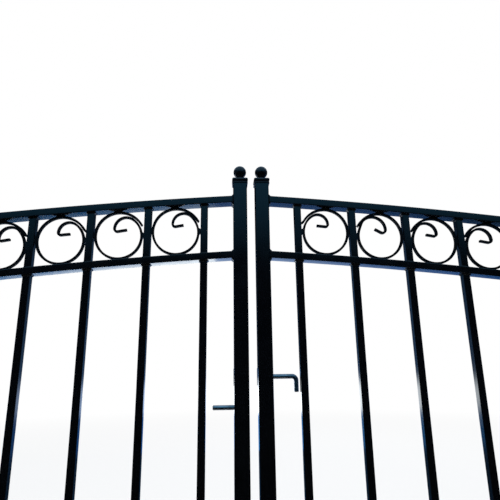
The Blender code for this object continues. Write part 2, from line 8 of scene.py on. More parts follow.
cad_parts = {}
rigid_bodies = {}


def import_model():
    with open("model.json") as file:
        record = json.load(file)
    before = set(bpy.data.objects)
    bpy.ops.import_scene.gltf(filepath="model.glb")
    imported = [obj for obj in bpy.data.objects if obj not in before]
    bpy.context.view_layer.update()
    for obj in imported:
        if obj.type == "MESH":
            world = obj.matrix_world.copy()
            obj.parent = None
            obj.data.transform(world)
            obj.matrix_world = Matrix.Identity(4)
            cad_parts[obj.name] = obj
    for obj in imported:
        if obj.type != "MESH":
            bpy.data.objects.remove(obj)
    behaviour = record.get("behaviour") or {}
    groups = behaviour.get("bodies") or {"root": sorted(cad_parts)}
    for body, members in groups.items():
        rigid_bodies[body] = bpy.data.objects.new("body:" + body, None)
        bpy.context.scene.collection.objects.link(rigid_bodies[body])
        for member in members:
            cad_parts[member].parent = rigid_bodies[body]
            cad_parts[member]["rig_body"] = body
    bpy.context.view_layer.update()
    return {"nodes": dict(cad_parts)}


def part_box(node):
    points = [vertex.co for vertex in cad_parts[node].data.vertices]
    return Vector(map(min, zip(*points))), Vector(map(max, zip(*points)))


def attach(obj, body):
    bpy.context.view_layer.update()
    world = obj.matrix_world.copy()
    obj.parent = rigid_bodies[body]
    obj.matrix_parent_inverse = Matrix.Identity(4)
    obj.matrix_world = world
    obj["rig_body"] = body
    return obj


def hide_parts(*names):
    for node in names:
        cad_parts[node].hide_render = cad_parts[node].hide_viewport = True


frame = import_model()
print("frame loaded:", len(frame["nodes"]), "parts")


# Finishes

class Wire:  # a socket, on which sums can be written
    def __init__(self, finish, socket):
        self.finish, self.socket = finish, socket

    def maths(self, operation, first, second):
        return self.finish.node("ShaderNodeMath", {"operation": operation}, {0: first, 1: second})

    def __add__(self, other):
        return self.maths("ADD", self, other)

    def __mul__(self, other):
        return self.maths("MULTIPLY", self, other)

    def __sub__(self, other):
        return self.maths("SUBTRACT", self, other)

    def __rsub__(self, other):
        return self.maths("SUBTRACT", other, self)

    __radd__ = __add__
    __rmul__ = __mul__


class Finish:  # one material and the nodes in it
    def __init__(self, name, **sockets):
        self.material = bpy.data.materials.new(name)
        self.material.use_nodes = True
        self.tree = self.material.node_tree
        self.shader = self.tree.nodes["Principled BSDF"]
        self.feed(self.shader, sockets)

    def feed(self, node, sockets):
        for name, value in sockets.items():
            key = name.replace("_", " ") if isinstance(name, str) else name
            if isinstance(value, Wire):
                self.tree.links.new(value.socket, node.inputs[key])
            else:
                node.inputs[key].default_value = value

    def node(self, kind, settings, sockets, out=0):
        made = self.tree.nodes.new(kind)
        for name, value in settings.items():
            if name == "stops":
                ramp = made.color_ramp.elements
                while len(ramp) < len(value):
                    ramp.new(1.0)
                for stop, (place, shade) in zip(ramp, value):
                    stop.position, stop.color = place, (shade, shade, shade, 1)
            else:
                setattr(made, name, value)
        self.feed(made, sockets)
        return Wire(self, made.outputs[out])

    def grain(self, where, scale, detail=2.0, roughness=0.5):
        return self.node("ShaderNodeTexNoise", {}, {"Vector": where, "Scale": scale, "Detail": detail,
                                                    "Roughness": roughness})

    def ramp(self, value, stops):
        return self.node("ShaderNodeValToRGB", {"stops": stops}, {"Fac": value})

    def blend(self, share, first, second):
        return self.node("ShaderNodeMix", {"data_type": "RGBA"}, {0: share, 6: first, 7: second}, out=2)


class Sky(Finish):  # the same for the world
    def __init__(self, name):
        self.world = bpy.data.worlds.new(name)
        self.world.use_nodes = True
        bpy.context.scene.world = self.world
        self.tree = self.world.node_tree
        self.shader = self.tree.nodes["Background"]


coatLook = {
    "black": (0.0009, 0.0012, 0.0018, 1), "thin": (0.0021, 0.0026, 0.0036, 1), "dust": (0.070, 0.076, 0.082, 1),
    "roughness": 0.11, "mottle": 0.06, "peelSize": 0.0024, "peelHeight": 0.000009, "dustShare": 0.16,
}


def powderCoat(name, roughness=0.0, gloss=0.5):
    look = coatLook
    finish = Finish(name, IOR=1.5, Specular_IOR_Level=gloss)
    where = finish.node("ShaderNodeTexCoord", {}, {}, out="Object")
    normal = finish.node("ShaderNodeNewGeometry", {}, {}, out="Normal")
    upward = finish.node("ShaderNodeSeparateXYZ", {}, {0: normal}, out="Z")
    mottle = finish.ramp(finish.grain(where, 14.0, 4.0, 0.6), [(0.32, 0), (0.70, 1)])
    specks = finish.ramp(finish.grain(where, 420.0, 1.0), [(0.62, 0), (0.74, 1)])
    settled = finish.ramp(upward, [(0.80, 0), (0.97, 1)]) * finish.ramp(finish.grain(where, 60.0, 5.0, 0.65),
                                                                      [(0.30, 0.25), (0.72, 1)])
    coat = finish.blend(mottle * 0.6 + specks * 0.25, look["black"], look["thin"])
    dusty = settled * look["dustShare"]
    peel = finish.grain(where, 1 / look["peelSize"], 2.0, 0.45)
    bump = finish.node("ShaderNodeBump", {}, {"Height": peel + mottle * 0.6, "Strength": 1.0,
                                              "Distance": look["peelHeight"]})
    finish.feed(finish.shader, {
        "Base Color": finish.blend(dusty, coat, look["dust"]),
        "Roughness": mottle * look["mottle"] + specks * 0.05 + dusty * 0.9 + (look["roughness"] + roughness),
        "Normal": bump,
    })
    return finish.material


zincLook = {
    "bright": (0.52, 0.53, 0.55, 1), "dull": (0.33, 0.345, 0.365, 1), "worn": (0.62, 0.62, 0.62, 1),
    "roughness": 0.30, "scratchHeight": 0.00003,
}


def zincPlate(name, along):  # along: how little the scratches change down X, Y and Z
    look = zincLook
    finish = Finish(name, Metallic=1.0)
    where = finish.node("ShaderNodeTexCoord", {}, {}, out="Object")
    drawn = finish.node("ShaderNodeMapping", {}, {"Vector": where, "Scale": along})
    scratches = finish.ramp(finish.grain(drawn, 1.0, 3.0, 0.7), [(0.44, 0), (0.66, 1)])
    spangle = finish.node("ShaderNodeTexVoronoi", {"feature": "F1"}, {"Vector": where, "Scale": 240.0},
                          out="Distance")
    cloud = finish.ramp(finish.grain(where, 35.0, 4.0), [(0.35, 0), (0.68, 1)])
    plate = finish.blend(cloud * 0.8 + spangle * 0.25, look["bright"], look["dull"])
    bump = finish.node("ShaderNodeBump", {}, {"Height": scratches, "Strength": 1.0,
                                              "Distance": look["scratchHeight"]})
    finish.feed(finish.shader, {
        "Base Color": finish.blend(scratches * 0.4, plate, look["worn"]),
        "Roughness": cloud * 0.16 + spangle * 0.08 + (look["roughness"] - scratches * 0.06),
        "Normal": bump,
    })
    return finish.material


paints = {slot: powderCoat(slot) for slot in ("stile_black", "rail_black", "picket_black", "post_black")}
paints["volute_black"] = powderCoat("volute_black", roughness=0.34, gloss=0.09)
paints["cap_black"] = powderCoat("cap_black", roughness=0.08, gloss=0.48)
paints["hinge_black"] = powderCoat("hinge_black", roughness=0.05)
paints["fitting_black"] = powderCoat("fitting_black", roughness=0.05)
weldPaint = powderCoat("weld_black", roughness=0.14, gloss=0.30)
rodZinc = zincPlate("rod_zinc", (900, 900, 14))
boltZinc = zincPlate("bolt_zinc", (14, 900, 900))
print("finishes mixed:", len(bpy.data.materials))


# Mesh tools

def vertsOf(made):
    return [item for item in made if isinstance(item, bmesh.types.BMVert)]


def facesOf(made):
    return [item for item in made if isinstance(item, bmesh.types.BMFace)]


def addCopy(target, solid, where=None):
    copy = bpy.data.meshes.new("copy")
    solid.to_mesh(copy)
    copy.transform(where or Matrix())
    target.from_mesh(copy)
    bpy.data.meshes.remove(copy)


def roundedFace(wide, deep, corner, steps):  # in X and Y, round the origin
    bm = bmesh.new()
    rim = bmesh.ops.create_grid(bm, x_segments=1, y_segments=1, size=0.5)["verts"]
    bmesh.ops.scale(bm, verts=rim, vec=(wide, deep, 1))
    bmesh.ops.bevel(bm, geom=rim, offset=corner, offset_type="OFFSET", segments=steps, profile=0.5,
                    affect="VERTICES", material=-1)
    return bm


def grow(bm, faces, move, size=1.0):  # extrudes faces, and scales them round their middle
    made = bmesh.ops.extrude_face_region(bm, geom=faces)["geom"]
    verts = vertsOf(made)
    bmesh.ops.translate(bm, verts=verts, vec=move)
    if size != 1.0:
        middle = sum((v.co for v in verts), Vector()) / len(verts)
        bmesh.ops.scale(bm, verts=verts, vec=(size, size, size), space=Matrix.Translation(-middle))
    if any(len(edge.link_faces) > 2 for face in faces for edge in face.edges):  # no wall stays inside
        bmesh.ops.delete(bm, geom=faces, context="FACES")
    return facesOf(made)


def squareTube(wide, deep, wall, corner, length, cuts=0):  # stands on the origin
    bm = roundedFace(wide, deep, corner, 4)
    core = bm.faces[:]
    bmesh.ops.inset_region(bm, faces=core, thickness=wall, use_even_offset=True, use_boundary=True)
    bmesh.ops.delete(bm, geom=core, context="FACES")
    grow(bm, bm.faces[:], (0, 0, length))
    if cuts:
        walls = [e for e in bm.edges if abs(e.verts[0].co.z - e.verts[1].co.z) > length / 2]
        bmesh.ops.subdivide_edges(bm, edges=walls, cuts=cuts, use_grid_fill=True)
    return bm


def block(low, high, edge=0.0008, steps=2):
    bm = bmesh.new()
    low, high = Vector(low), Vector(high)
    bmesh.ops.create_cube(bm, size=1)
    bmesh.ops.scale(bm, verts=bm.verts, vec=[abs(d) for d in high - low])
    bmesh.ops.translate(bm, verts=bm.verts, vec=(low + high) / 2)
    bmesh.ops.bevel(bm, geom=bm.edges[:], offset=edge, offset_type="OFFSET", segments=steps, profile=0.5,
                    affect="EDGES", material=-1)
    return bm


def turned(outline, steps=40, closed=False):  # (radius, height) pairs spun round Z
    bm = bmesh.new()
    points = [bm.verts.new((radius, 0, height)) for radius, height in outline]
    pairs = list(zip(points, points[1:])) + ([(points[-1], points[0])] if closed else [])
    edges = [bm.edges.new(pair) for pair in pairs]
    bmesh.ops.spin(bm, geom=points + edges, cent=(0, 0, 0), axis=(0, 0, 1), angle=2 * pi, steps=steps,
                   use_merge=True)
    bmesh.ops.remove_doubles(bm, verts=bm.verts, dist=1e-6)
    return bm


def sleeve(inner, outer, low, high, edge=0.0008):  # a ring with eased rims
    return turned([(inner, low + edge), (inner + edge, low), (outer - edge, low), (outer, low + edge),
                   (outer, high - edge), (outer - edge, high), (inner + edge, high), (inner, high - edge)],
                  closed=True)


def roundBar(radius, straight, bend, handle, taper=0.0025):  # up Z from its tip, then off along X
    bm = bmesh.new()
    bmesh.ops.create_circle(bm, cap_ends=True, segments=28, radius=radius - taper)
    tip = grow(bm, bm.faces[:], (0, 0, taper * 0.6), (radius - taper * 0.3) / (radius - taper))
    tip = grow(bm, tip, (0, 0, taper * 0.4), radius / (radius - taper * 0.3))
    tip = grow(bm, tip, (0, 0, straight - taper))
    made = bmesh.ops.spin(bm, geom=tip, cent=(bend, 0, straight), axis=(0, 1, 0), dvec=(0, 0, 0),
                          angle=pi / 2, steps=14)["geom_last"]
    bmesh.ops.delete(bm, geom=tip, context="FACES_ONLY")
    tip = grow(bm, facesOf(made), (handle, 0, 0))
    tip = grow(bm, tip, (taper * 0.4, 0, 0), (radius - taper * 0.3) / radius)
    grow(bm, tip, (taper * 0.6, 0, 0), (radius - taper) / (radius - taper * 0.3))
    return bm


beadLook = {"pitch": 0.0030, "swell": 1.13, "sink": 0.0007}


def beadAround(wide, deep, corner, out, up):  # a fillet bead round a tube that stands on Z 0
    bm = bmesh.new()
    sink, swell = beadLook["sink"], beadLook["swell"]
    side = wide / 2
    bulge = [(out * (0.45 * cos(a) + 0.55 * (1 - a * 2 / pi)), up * (0.45 * sin(a) + 0.55 * a * 2 / pi))
             for a in (0, pi / 8, pi / 4, 3 * pi / 8, pi / 2)]
    outline = [(-sink, -sink), (out, -sink)] + bulge + [(-sink, up)]
    tip = [bm.faces.new([bm.verts.new((side + u, 0, w)) for u, w in outline])]
    first = tip[:]
    heading = Vector((0, 1, 0))
    for run, middle in ((deep, (1, 1)), (wide, (-1, 1)), (deep, (-1, -1)), (wide, (1, -1)), (deep, None)):
        length = run / 2 - corner if run is deep and (middle in ((1, 1), None)) else run - 2 * corner
        count = max(1, round(length / beadLook["pitch"])) * 2
        for step in range(count):
            tip = grow(bm, tip, heading * length / count)
            root = Vector([face.calc_center_median() for face in tip][0])
            size = swell if step % 2 == 0 else 1 / swell
            bmesh.ops.scale(bm, verts=tip[0].verts[:], vec=(size, size, size),
                            space=Matrix.Translation(-root))
        if middle:
            centre = (middle[0] * (wide / 2 - corner), middle[1] * (deep / 2 - corner), 0)
            made = bmesh.ops.spin(bm, geom=tip, cent=centre, axis=(0, 0, 1), dvec=(0, 0, 0), angle=pi / 2,
                                  steps=4)["geom_last"]
            bmesh.ops.delete(bm, geom=tip, context="FACES_ONLY")
            tip = facesOf(made)
            heading = Matrix.Rotation(pi / 2, 3, "Z") @ heading
    bmesh.ops.delete(bm, geom=first + tip, context="FACES_ONLY")
    bmesh.ops.remove_doubles(bm, verts=bm.verts, dist=1e-5)
    return bm


def camel(node):
    words = node.split("_")
    return words[0] + "".join(word.capitalize() for word in words[1:])


def finishPiece(bm, name, body, paint, slot, *stands):
    bmesh.ops.remove_doubles(bm, verts=bm.verts, dist=1e-6)
    bmesh.ops.recalc_face_normals(bm, faces=bm.faces)
    mesh = bpy.data.meshes.new(name)
    bm.to_mesh(mesh)
    bm.free()
    mesh.shade_smooth()
    mesh.set_sharp_from_angle(angle=radians(38))
    mesh.materials.append(paint)
    piece = bpy.data.objects.new(name, mesh)
    bpy.context.scene.collection.objects.link(piece)
    even = piece.modifiers.new("evenShading", "WEIGHTED_NORMAL")  # flats stay flat beside rounded edges
    even.keep_sharp = True
    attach(piece, body)
    if stands:
        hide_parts(*stands)
    return piece


def standFor(bm, node, slot, paint=None):  # a finer piece in a CAD part's place
    body = frame["nodes"][node]["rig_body"]
    return finishPiece(bm, camel(node), body, paint or paints[slot], slot, node)


def middleOf(node):
    low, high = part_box(node)
    return (low + high) / 2


# The leaves' lines

arch = {"crown": 1.447, "slope": 0.057, "radius": 16.7, "meetingEdge": 0.015}
railHeight = 0.0254
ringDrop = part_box("left_top_rail")[1].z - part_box("left_ring_rail")[1].z


def railTop(x):  # the top rails' upper face
    across = abs(x) - arch["meetingEdge"]
    return arch["crown"] - arch["slope"] * across - across ** 2 / (2 * arch["radius"])


def railFall(x):  # how fast the rails fall away from the middle
    return arch["slope"] + (abs(x) - arch["meetingEdge"]) / arch["radius"]


sides = {"left": -1, "right": 1}


# Stiles and pickets

stileLook = {"corner": 0.0046, "wall": 0.0025}
picketLook = {"corner": 0.0031, "wall": 0.0016}


def makeStile(node):
    low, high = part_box(node)
    wide = high.x - low.x
    bm = squareTube(wide, wide, stileLook["wall"], stileLook["corner"], high.z - low.z)
    bmesh.ops.translate(bm, verts=bm.verts, vec=((low.x + high.x) / 2, 0, low.z))
    standFor(bm, node, "stile_black")


def makePicket(node):
    low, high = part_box(node)
    wide, x = high.x - low.x, (low.x + high.x) / 2
    top = railTop(x) - railHeight
    bm = squareTube(wide, wide, picketLook["wall"], picketLook["corner"], top - low.z)
    bmesh.ops.translate(bm, verts=bm.verts, vec=(x, 0, low.z))
    for vert in bm.verts:
        if vert.co.z > low.z + 0.1:
            vert.co.z = railTop(vert.co.x) - railHeight
    standFor(bm, node, "picket_black")


for hand in sides:
    for node in (f"{hand}_meeting_stile", f"{hand}_hinge_stile"):
        makeStile(node)
    for number in range(1, 8):
        makePicket(f"{hand}_picket_{number}")
print("stiles and pickets stand")


# Rails

railLook = {"corner": 0.0024, "wall": 0.0020, "cuts": 30}


def makeRail(node, line):
    low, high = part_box(node)
    depth = high.y - low.y
    bm = squareTube(depth, railHeight, railLook["wall"], railLook["corner"], high.x - low.x,
                    railLook["cuts"])
    for vert in bm.verts:
        deep, tall, along = vert.co
        x = low.x + along
        vert.co = (x, deep, line(x) - railHeight / 2 + tall)
    standFor(bm, node, "rail_black")


for hand in sides:
    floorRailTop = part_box(f"{hand}_bottom_rail")[1].z
    makeRail(f"{hand}_top_rail", railTop)
    makeRail(f"{hand}_ring_rail", lambda x: railTop(x) - ringDrop)
    makeRail(f"{hand}_bottom_rail", lambda x: floorRailTop)
print("rails laid")


# Volutes

voluteLook = {
    "ring": 0.08303125, "thick": 0.0079375, "deep": 0.0127, "edge": 0.0009, "step": 3.0,
    "tailOffset": 1.12, "tailEnd": 33.0, "leadOffset": 0.68, "leadStart": 300.0, "throatStart": 20.0,
    "flickRadius": 0.030, "tipThin": 0.55, "tall": 1.034,
}
bends = (  # curl middle across and up, curl, hook and tip in ring radii, hook turn, tail flick in degrees
    (0.322, 0.322, 0.477, 0.112, 0.350, 100.0, 15.0),
    (0.286, 0.295, 0.495, 0.125, 0.395, 100.0, 13.0),
    (0.316, 0.328, 0.448, 0.101, 0.390, 96.0, 27.0),
    (0.286, 0.286, 0.573, 0.147, 0.310, 118.0, 15.0),
)
bendOrder = {"left": (0, 1, 2, 0, 2, 1), "right": (2, 3, 0, 1, 2, 0)}  # from the meeting stile out


def ray(angle):
    return Vector((cos(radians(angle)), 0, sin(radians(angle))))


def curve(bm, face, middle, turn, keep=False):  # bends the bar on round a middle
    steps = max(1, round(abs(turn) / voluteLook["step"]))
    made = bmesh.ops.spin(bm, geom=face, cent=middle, axis=(0, -1, 0), dvec=(0, 0, 0), angle=radians(turn),
                          steps=steps)["geom_last"]
    if not keep:
        bmesh.ops.delete(bm, geom=face, context="FACES_ONLY")
    return facesOf(made)


def bendBar(bend):
    look = voluteLook
    curlAcross, curlUp, curlShare, hookShare, tipShare, hookTurn, flick = bend
    ring = look["ring"]
    tailRadius = ring + look["tailOffset"] * look["thick"]
    tail = ray(90) * (ring - tailRadius)
    leadRadius = ring - look["leadOffset"] * look["thick"]
    lead = ray(look["leadStart"]) * (ring - leadRadius)
    curl, curlRadius = Vector((curlAcross, 0, curlUp)) * ring, curlShare * ring
    start = ray(look["throatStart"])
    spare, shift = leadRadius - curlRadius, curl - lead
    inset = (spare * spare - shift.dot(shift)) / (2 * (spare - shift.dot(start)))
    throat = lead + start * inset
    curlStart = degrees(atan2((curl - throat).z, (curl - throat).x))
    hook = curl + ray(180) * (curlRadius - hookShare * ring)
    tailEnd = tail + ray(look["tailEnd"]) * tailRadius
    outside = tailEnd + ray(look["tailEnd"]) * look["flickRadius"]

    bm = roundedFace(look["thick"], look["deep"], look["edge"], 2)
    bmesh.ops.rotate(bm, verts=bm.verts, cent=(0, 0, 0), matrix=Matrix.Rotation(-radians(look["tailEnd"]), 3, "Y"))
    bmesh.ops.translate(bm, verts=bm.verts, vec=tailEnd)
    bmesh.ops.rotate(bm, verts=bm.verts, cent=outside, matrix=Matrix.Rotation(-radians(flick), 3, "Y"))
    tip = bm.verts[:]
    face = curve(bm, bm.faces[:], outside, -flick, keep=True)
    middle = sum((v.co for v in tip), Vector()) / len(tip)
    thin = Matrix.Rotation(radians(look["tailEnd"] + flick), 4, "Y")
    bmesh.ops.transform(bm, verts=tip, space=Matrix.Translation(-middle),
                        matrix=thin.inverted() @ Matrix.Diagonal((look["tipThin"], 0.9, 1, 1)) @ thin)
    for centre, turn in ((tail, 90 - look["tailEnd"]), (Vector(), look["leadStart"] - 90),
                         (lead, 360 + look["throatStart"] - look["leadStart"]),
                         (throat, curlStart - look["throatStart"]), (curl, 180 - curlStart),
                         (hook, hookTurn)):
        face = curve(bm, face, centre, turn)
    grow(bm, face, ray(270 + hookTurn) * tipShare * ring)
    return bm


def bayMiddle(hand, number):
    x = (middleOf(f"{hand}_picket_{number}").x + middleOf(f"{hand}_picket_{number + 1}").x) / 2
    return Vector((x, 0, railTop(x) - (ringDrop + railHeight) / 2))


for hand, side in sides.items():
    for number, kind in enumerate(bendOrder[hand], start=1):
        bm = bendBar(bends[kind])
        place = Matrix.Translation(bayMiddle(hand, number)) @ Matrix.Diagonal((-side, 1, voluteLook["tall"], 1))
        bmesh.ops.transform(bm, verts=bm.verts, matrix=place)
        standFor(bm, f"{hand}_volute_{number}", "volute_black")
print("volutes bent")


# Welds

weldLook = {
    "picketLeg": 0.0050, "railLeg": 0.0068, "depth": 0.0150, "sink": 0.0022, "full": 0.50, "lump": 0.0005,
    "inner": (180, 10.0, 0.0042, 0), "outer": (0, 10.0, 0.0064, -0.0023),  # angle, half-angle, reach, shift
    "top": (90, 13.5, 0.0060, 0), "bottom": (270, 18.5, 0.0070, 0),
}


def ringWeld(angle, half, reach, shift):  # fills from the ring out to the tube beside it
    sink, depth = weldLook["sink"], weldLook["depth"]
    rim = voluteLook["ring"] + voluteLook["thick"] / 2 + shift
    bm = roundedFace(reach + sink, depth, 0.0020, 3)
    bmesh.ops.translate(bm, verts=bm.verts, vec=(rim + (reach - sink) / 2, 0, 0))
    bmesh.ops.rotate(bm, verts=bm.verts, cent=(0, 0, 0), matrix=Matrix.Rotation(radians(half - angle), 3, "Y"))
    bmesh.ops.spin(bm, geom=bm.faces[:], cent=(0, 0, 0), axis=(0, -1, 0), dvec=(0, 0, 0),
                   angle=radians(2 * half), steps=round(2 * half / 0.8))
    for vert in bm.verts:
        flat = Vector((vert.co.x, 0, vert.co.z))
        off = (degrees(atan2(vert.co.z, vert.co.x)) - angle + 180) % 360 - 180
        toe = max(0.0, (abs(off) / half - weldLook["full"]) / (1 - weldLook["full"]))
        swell = weldLook["lump"] * noise.noise(vert.co * 420)
        proud = (flat.length - rim + sink) * (1 - toe) ** 2
        flat = flat.normalized() * (rim - sink + proud + swell * (1 - toe))
        deep = vert.co.y * (1 - 0.30 * toe * toe) * (1 + 60 * swell)
        vert.co = (flat.x, deep, flat.z)
    return bm


def makeRingWelds(hand, side):
    bm = bmesh.new()
    for number in range(1, 7):
        middle = bayMiddle(hand, number)
        place = Matrix.Translation(middle) @ Matrix.Diagonal((-side, 1, voluteLook["tall"], 1))
        lean = degrees(atan(railFall(middle.x)))
        for spot in ("inner", "outer", "top", "bottom"):
            angle, half, reach, shift = weldLook[spot]
            weld = ringWeld(angle + (lean if spot in ("top", "bottom") else 0), half, reach, shift)
            addCopy(bm, weld, place)
            weld.free()
    finishPiece(bm, f"{hand}RingWelds", f"{hand}_leaf", weldPaint, "volute_black")


def makeRailWelds(hand, side):
    bm = bmesh.new()
    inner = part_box(f"{hand}_top_rail")
    depth = inner[1].y - inner[0].y
    legs = weldLook["railLeg"]
    bead = beadAround(railHeight, depth - 0.010, 0.002, legs, legs)
    for line in (railTop, lambda x: railTop(x) - ringDrop, lambda x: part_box(f"{hand}_bottom_rail")[1].z):
        for end, turn in ((0, 1), (1, -1)):
            x = inner[end].x
            tilt = Matrix.Rotation(pi / 2 * turn, 4, "Y")
            addCopy(bm, bead, Matrix.Translation((x, 0, line(x) - railHeight / 2)) @ tilt)
    bead.free()
    finishPiece(bm, f"{hand}RailWelds", f"{hand}_leaf", weldPaint, "rail_black")


def makePicketWelds(hand, side):
    bm = bmesh.new()
    low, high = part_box(f"{hand}_picket_1")
    wide = high.x - low.x
    leg = weldLook["picketLeg"]
    bead = beadAround(wide, wide, picketLook["corner"], leg, leg)
    for number in range(1, 8):
        x = middleOf(f"{hand}_picket_{number}").x
        lean = Matrix(((1, 0, 0, 0), (0, 1, 0, 0), (-railFall(x) * side, 0, 1, 0), (0, 0, 0, 1)))
        over = Matrix.Diagonal((1, 1, -1, 1))
        for height, form in ((railTop(x) - railHeight, lean @ over), (railTop(x) - ringDrop, lean),
                             (railTop(x) - ringDrop - railHeight, lean @ over),
                             (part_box(f"{hand}_bottom_rail")[1].z, Matrix())):
            addCopy(bm, bead, Matrix.Translation((x, 0, height)) @ form)
    bead.free()
    finishPiece(bm, f"{hand}PicketWelds", f"{hand}_leaf", weldPaint, "picket_black")


for hand, side in sides.items():
    makeRailWelds(hand, side)
    makePicketWelds(hand, side)
    makeRingWelds(hand, side)
print("welds run")


# Caps

capLook = {
    "skirt": 0.0165, "wall": 0.0030, "corner": 0.0060, "fit": 0.0003, "ease": 0.0005, "lid": 0.001,
    "postTube": 0.0762, "ball": 0.0238, "postBall": 0.030, "neck": 0.010,
    "knobFoot": ((0.0035, 0.001), (0.0035, 0.0032), (0.0012, 0.0045)),  # past its neck, height
    "outline": (  # rise and outward step: lip, shoulder, cove, rim, chamfer
        (0.0016, 0.0001), (0.0004, -0.0001), (0.0013, -0.0013), (0.0004, -0.0001), (0.0027, 0.0003),
        (0.0030, 0.0006), (0.0026, 0.00095), (0.0007, 0.00025), (0.0004, 0.0000), (0.0044, -0.0006),
        (0.0012, -0.0010), (0.0006, -0.0014), (0.0, -0.0080)),
}


def makeCap(node, stem):
    look = capLook
    low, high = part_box(node)
    x, seat = (low.x + high.x) / 2, low.z + look["skirt"]
    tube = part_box(stem)[1].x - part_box(stem)[0].x if "post" not in node else look["postTube"]
    wide = tube + 2 * (look["fit"] + look["wall"])
    ease = look["ease"]
    narrow = wide - 2 * ease
    bm = roundedFace(narrow, narrow, look["corner"], 5)
    foot = bm.faces[:]
    made = bmesh.ops.extrude_face_region(bm, geom=foot)["geom"]
    tip = facesOf(made)
    bmesh.ops.scale(bm, verts=vertsOf(made), vec=(wide / narrow, wide / narrow, 1))
    bmesh.ops.translate(bm, verts=vertsOf(made), vec=(0, 0, ease))
    across = wide
    for rise, outward in look["outline"]:
        tip = grow(bm, tip, (0, 0, rise), (across + 2 * outward) / across)
        across += 2 * outward
    bmesh.ops.inset_region(bm, faces=foot, thickness=look["wall"] - ease, use_even_offset=True)
    grow(bm, foot, (0, 0, look["skirt"] - look["lid"]))
    bmesh.ops.translate(bm, verts=bm.verts, vec=(0, 0, -look["skirt"]))
    ball = high.z - seat
    radius = look["postBall"] if "post" in node else look["ball"]
    centre, neck = ball - radius, look["neck"]
    begin = asin(neck / radius) - pi / 2
    outline = [(0, look["knobFoot"][0][1])] + [(neck + past, height) for past, height in look["knobFoot"]]
    outline += [(radius * cos(a), centre + radius * sin(a))
                for a in (begin + (pi / 2 - begin) * step / 22 for step in range(22))]
    knob = turned(outline + [(0, ball)], 44)
    addCopy(bm, knob)
    knob.free()
    bmesh.ops.translate(bm, verts=bm.verts, vec=(x, 0, seat))
    standFor(bm, node, "cap_black")


for hand in sides:
    for role in ("meeting", "hinge"):
        makeCap(f"{hand}_{role}_cap", f"{hand}_{role}_stile")
    makeCap(f"{hand}_post_cap", f"{hand}_post")
print("caps on")


# Posts

postLook = {"wide": 0.0762, "wall": 0.003, "corner": 0.0060, "plate": 0.010, "plateCorner": 0.010,
            "holeSpacing": 0.150, "hole": 0.007, "bead": 0.0075}


skinLook = {"merge": 2e-5, "sliver": 1e-6}  # nearer or smaller than this is cleared from a skin


def combine(solids, cutters=(), edge=0.0007, angle=40):  # one skin with eased edges
    tools = []
    for number, solid in enumerate([*solids, *cutters]):
        data = bpy.data.meshes.new("tool")
        bmesh.ops.recalc_face_normals(solid, faces=solid.faces)
        solid.to_mesh(data)
        solid.free()
        tools.append(bpy.data.objects.new(f"tool{number}", data))
        bpy.context.scene.collection.objects.link(tools[-1])
    for number, tool in enumerate(tools[1:], start=1):
        step = tools[0].modifiers.new(f"step{number}", "BOOLEAN")
        step.operation = "UNION" if number < len(solids) else "DIFFERENCE"
        step.solver, step.object = "EXACT", tool
    if edge:
        ease = tools[0].modifiers.new("ease", "BEVEL")
        ease.width, ease.segments, ease.angle_limit = edge, 2, radians(angle)
        ease.use_clamp_overlap = True
    graph = bpy.context.evaluated_depsgraph_get()
    skin = tools[0].evaluated_get(graph)
    bm = bmesh.new()
    bm.from_mesh(skin.to_mesh())
    skin.to_mesh_clear()
    bmesh.ops.remove_doubles(bm, verts=bm.verts, dist=skinLook["merge"])
    bmesh.ops.dissolve_degenerate(bm, edges=bm.edges, dist=skinLook["sliver"])
    bmesh.ops.delete(bm, geom=[edge for edge in bm.edges if not edge.link_faces], context="EDGES")
    for tool in tools:
        data = tool.data
        bpy.data.objects.remove(tool)
        bpy.data.meshes.remove(data)
    return bm


def moved(bm, *where):
    for matrix in where:
        bmesh.ops.transform(bm, verts=bm.verts, matrix=matrix)
    return bm


def barrel(radius, length, segments=40):  # a plain cylinder up from the origin
    bm = bmesh.new()
    bmesh.ops.create_circle(bm, cap_ends=True, segments=segments, radius=radius)
    grow(bm, bm.faces[:], (0, 0, length))
    return bm


def slide(x, y, z):
    return Matrix.Translation((x, y, z))


def makePost(hand, side):
    look = postLook
    node = f"{hand}_post"
    low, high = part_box(node)
    x = (low.x + high.x) / 2
    plate = roundedFace(high.x - low.x, high.y - low.y, look["plateCorner"], 5)
    grow(plate, plate.faces[:], (0, 0, look["plate"]))
    half = look["holeSpacing"] / 2
    holes = [moved(barrel(look["hole"], 0.03), slide(i * half, j * half, -0.01)) for i in (-1, 1) for j in (-1, 1)]
    bm = combine([plate], holes, 0.0012)
    shaft = squareTube(look["wide"], look["wide"], look["wall"], look["corner"], high.z - look["plate"])
    addCopy(bm, shaft, slide(0, 0, look["plate"]))
    shaft.free()
    moved(bm, slide(x, 0, 0))
    standFor(bm, node, "post_black")
    bead = beadAround(look["wide"], look["wide"], look["corner"], look["bead"], look["bead"])
    finishPiece(moved(bead, slide(x, 0, look["plate"])), f"{hand}PostWeld", "posts", weldPaint, "post_black")


for hand, side in sides.items():
    makePost(hand, side)
print("posts up")


# Hinges

hingeLook = {"axis": 1.588, "eye": 0.014, "bore": 0.0084, "pin": 0.008, "pinHeight": 0.046, "eyeHeight": 0.036,
             "lug": 0.014, "web": 0.010, "plate": (0.006, 0.044, 0.080), "bead": 0.0040}


def plateBead(wide, tall, leg, x, z, outward):  # round a plate that lies on an upright face
    bead = beadAround(tall, wide, 0.0015, leg, leg)
    return moved(bead, Matrix.Rotation(pi / 2 * outward, 4, "Y"), slide(x, 0, z))


